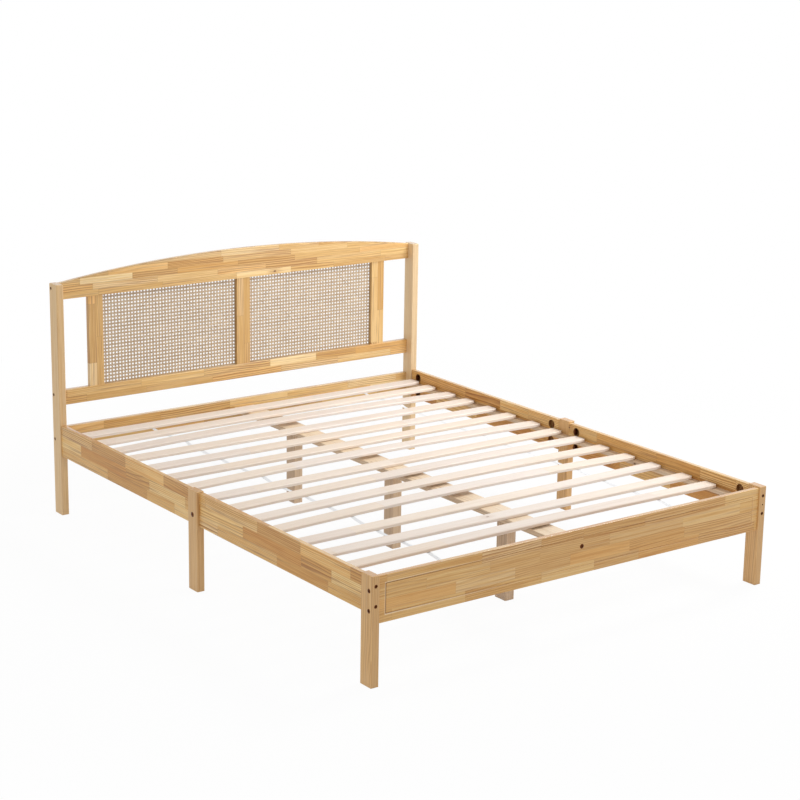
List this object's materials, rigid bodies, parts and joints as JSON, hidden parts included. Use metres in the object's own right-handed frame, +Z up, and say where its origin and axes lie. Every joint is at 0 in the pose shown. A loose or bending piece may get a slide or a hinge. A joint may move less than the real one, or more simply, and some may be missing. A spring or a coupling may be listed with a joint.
{
  "type": "slatted double bed",
  "caption": "Slatted double bed frame in finger-jointed pine with an arched headboard that holds cane panels; the tied slats lift out.",
  "frame": {"origin": "on the floor under the middle of the bed's outer box", "axes": "+X to the right seen from the foot end, +Y from foot to head, +Z up"},
  "size_m": [1.681, 2.08, 0.9463],
  "materials": {
    "honey_pine": "satin clear lacquer over finger-jointed pine",
    "pale_pine": "planed bare pine",
    "cane": "woven natural cane strands",
    "white_tape": "woven cotton tape",
    "dark_bronze": "dark bronze plated steel"
  },
  "bodies": {
    "bed_frame": {"beam_bolts": "dark_bronze", "cane_panel_left": "cane", "cane_panel_right": "cane", "centre_beam": "honey_pine", "centre_leg_1": "honey_pine", "centre_leg_2": "honey_pine", "centre_leg_3": "honey_pine", "foot_leg_left": "honey_pine", "foot_leg_right": "honey_pine", "foot_rail": "honey_pine", "foot_rail_bolts": "dark_bronze", "half_moon_nuts": "dark_bronze", "headboard_bolts": "dark_bronze", "headboard_bottom_rail": "honey_pine", "headboard_mid_rail": "honey_pine", "headboard_post_left": "honey_pine", "headboard_post_right": "honey_pine", "headboard_stile_centre": "honey_pine", "headboard_stile_left": "honey_pine", "headboard_stile_right": "honey_pine", "headboard_top_rail": "honey_pine", "mid_leg_cross_bolts": "dark_bronze", "mid_leg_left": "honey_pine", "mid_leg_right": "honey_pine", "mid_leg_rods": "dark_bronze", "side_rail_bolts_foot": "dark_bronze", "side_rail_bolts_head": "dark_bronze", "side_rail_left_foot": "honey_pine", "side_rail_left_head": "honey_pine", "side_rail_right_foot": "honey_pine", "side_rail_right_head": "honey_pine", "slat_ledger_left": "honey_pine", "slat_ledger_right": "honey_pine"},
    "slat_roll": {"slat_01": "pale_pine", "slat_02": "pale_pine", "slat_03": "pale_pine", "slat_04": "pale_pine", "slat_05": "pale_pine", "slat_06": "pale_pine", "slat_07": "pale_pine", "slat_08": "pale_pine", "slat_09": "pale_pine", "slat_10": "pale_pine", "slat_11": "pale_pine", "slat_12": "pale_pine", "slat_13": "pale_pine", "slat_14": "pale_pine", "slat_ribbon_left": "white_tape", "slat_ribbon_right": "white_tape"}
  },
  "joints": [
    {"name": "slats_lift_out", "type": "slide", "parent": "bed_frame", "child": "slat_roll", "axis": [0, 0, 1], "range_m": [0, 0.2]}
  ]
}
